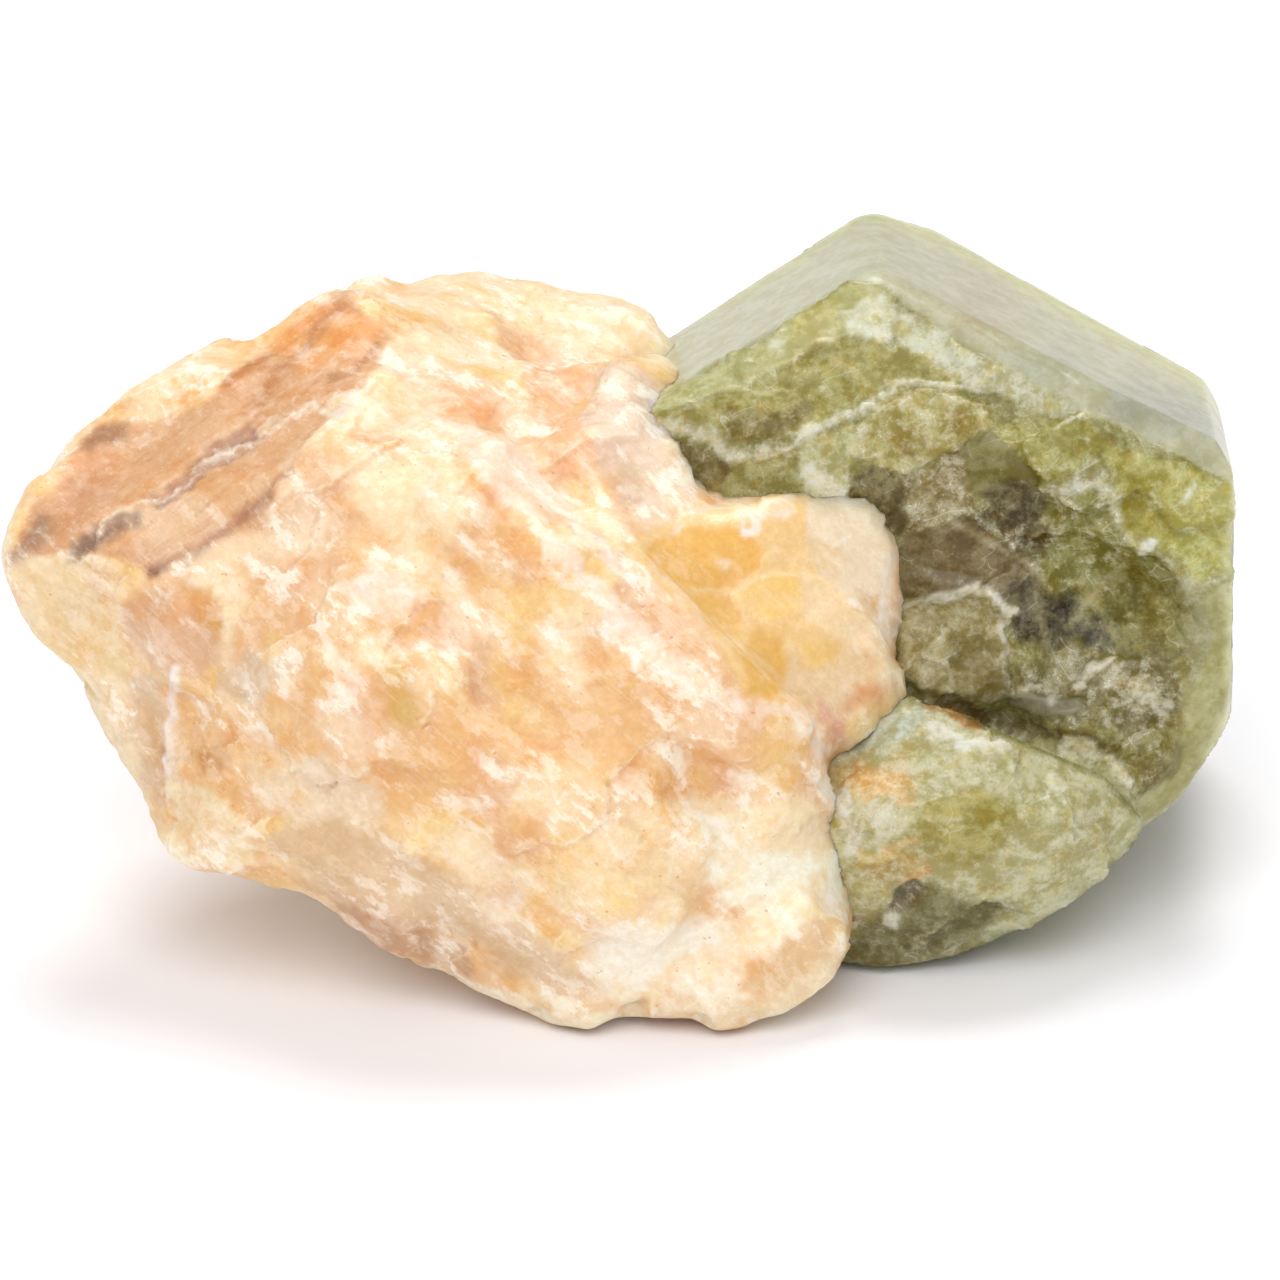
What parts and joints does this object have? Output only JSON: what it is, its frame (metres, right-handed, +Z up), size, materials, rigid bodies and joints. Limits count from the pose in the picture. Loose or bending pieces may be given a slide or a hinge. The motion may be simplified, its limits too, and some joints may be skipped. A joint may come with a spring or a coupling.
{
  "type": "demantoid garnet specimen",
  "caption": "Rough green garnet crystal with a smaller one grown onto it, seated in a cleaved lump of orange calcite.",
  "frame": {"origin": "middle of the bounding box's underside, on the table", "axes": "+X to the viewer's right, from the calcite towards the garnet; -Y towards the viewer; +Z up"},
  "size_m": [0.0506, 0.035, 0.0258],
  "materials": {
    "garnet": "olive to yellow-green vitreous crystal, frosted grey-green outer faces, broken front with milky white veins and iron stains",
    "calcite": "translucent peach, orange and cream calcite, mottled with white, brown iron stain on one cleavage face"
  },
  "bodies": {
    "root": {"garnet_crystals": "garnet", "calcite_matrix": "calcite"}
  },
  "joints": []
}
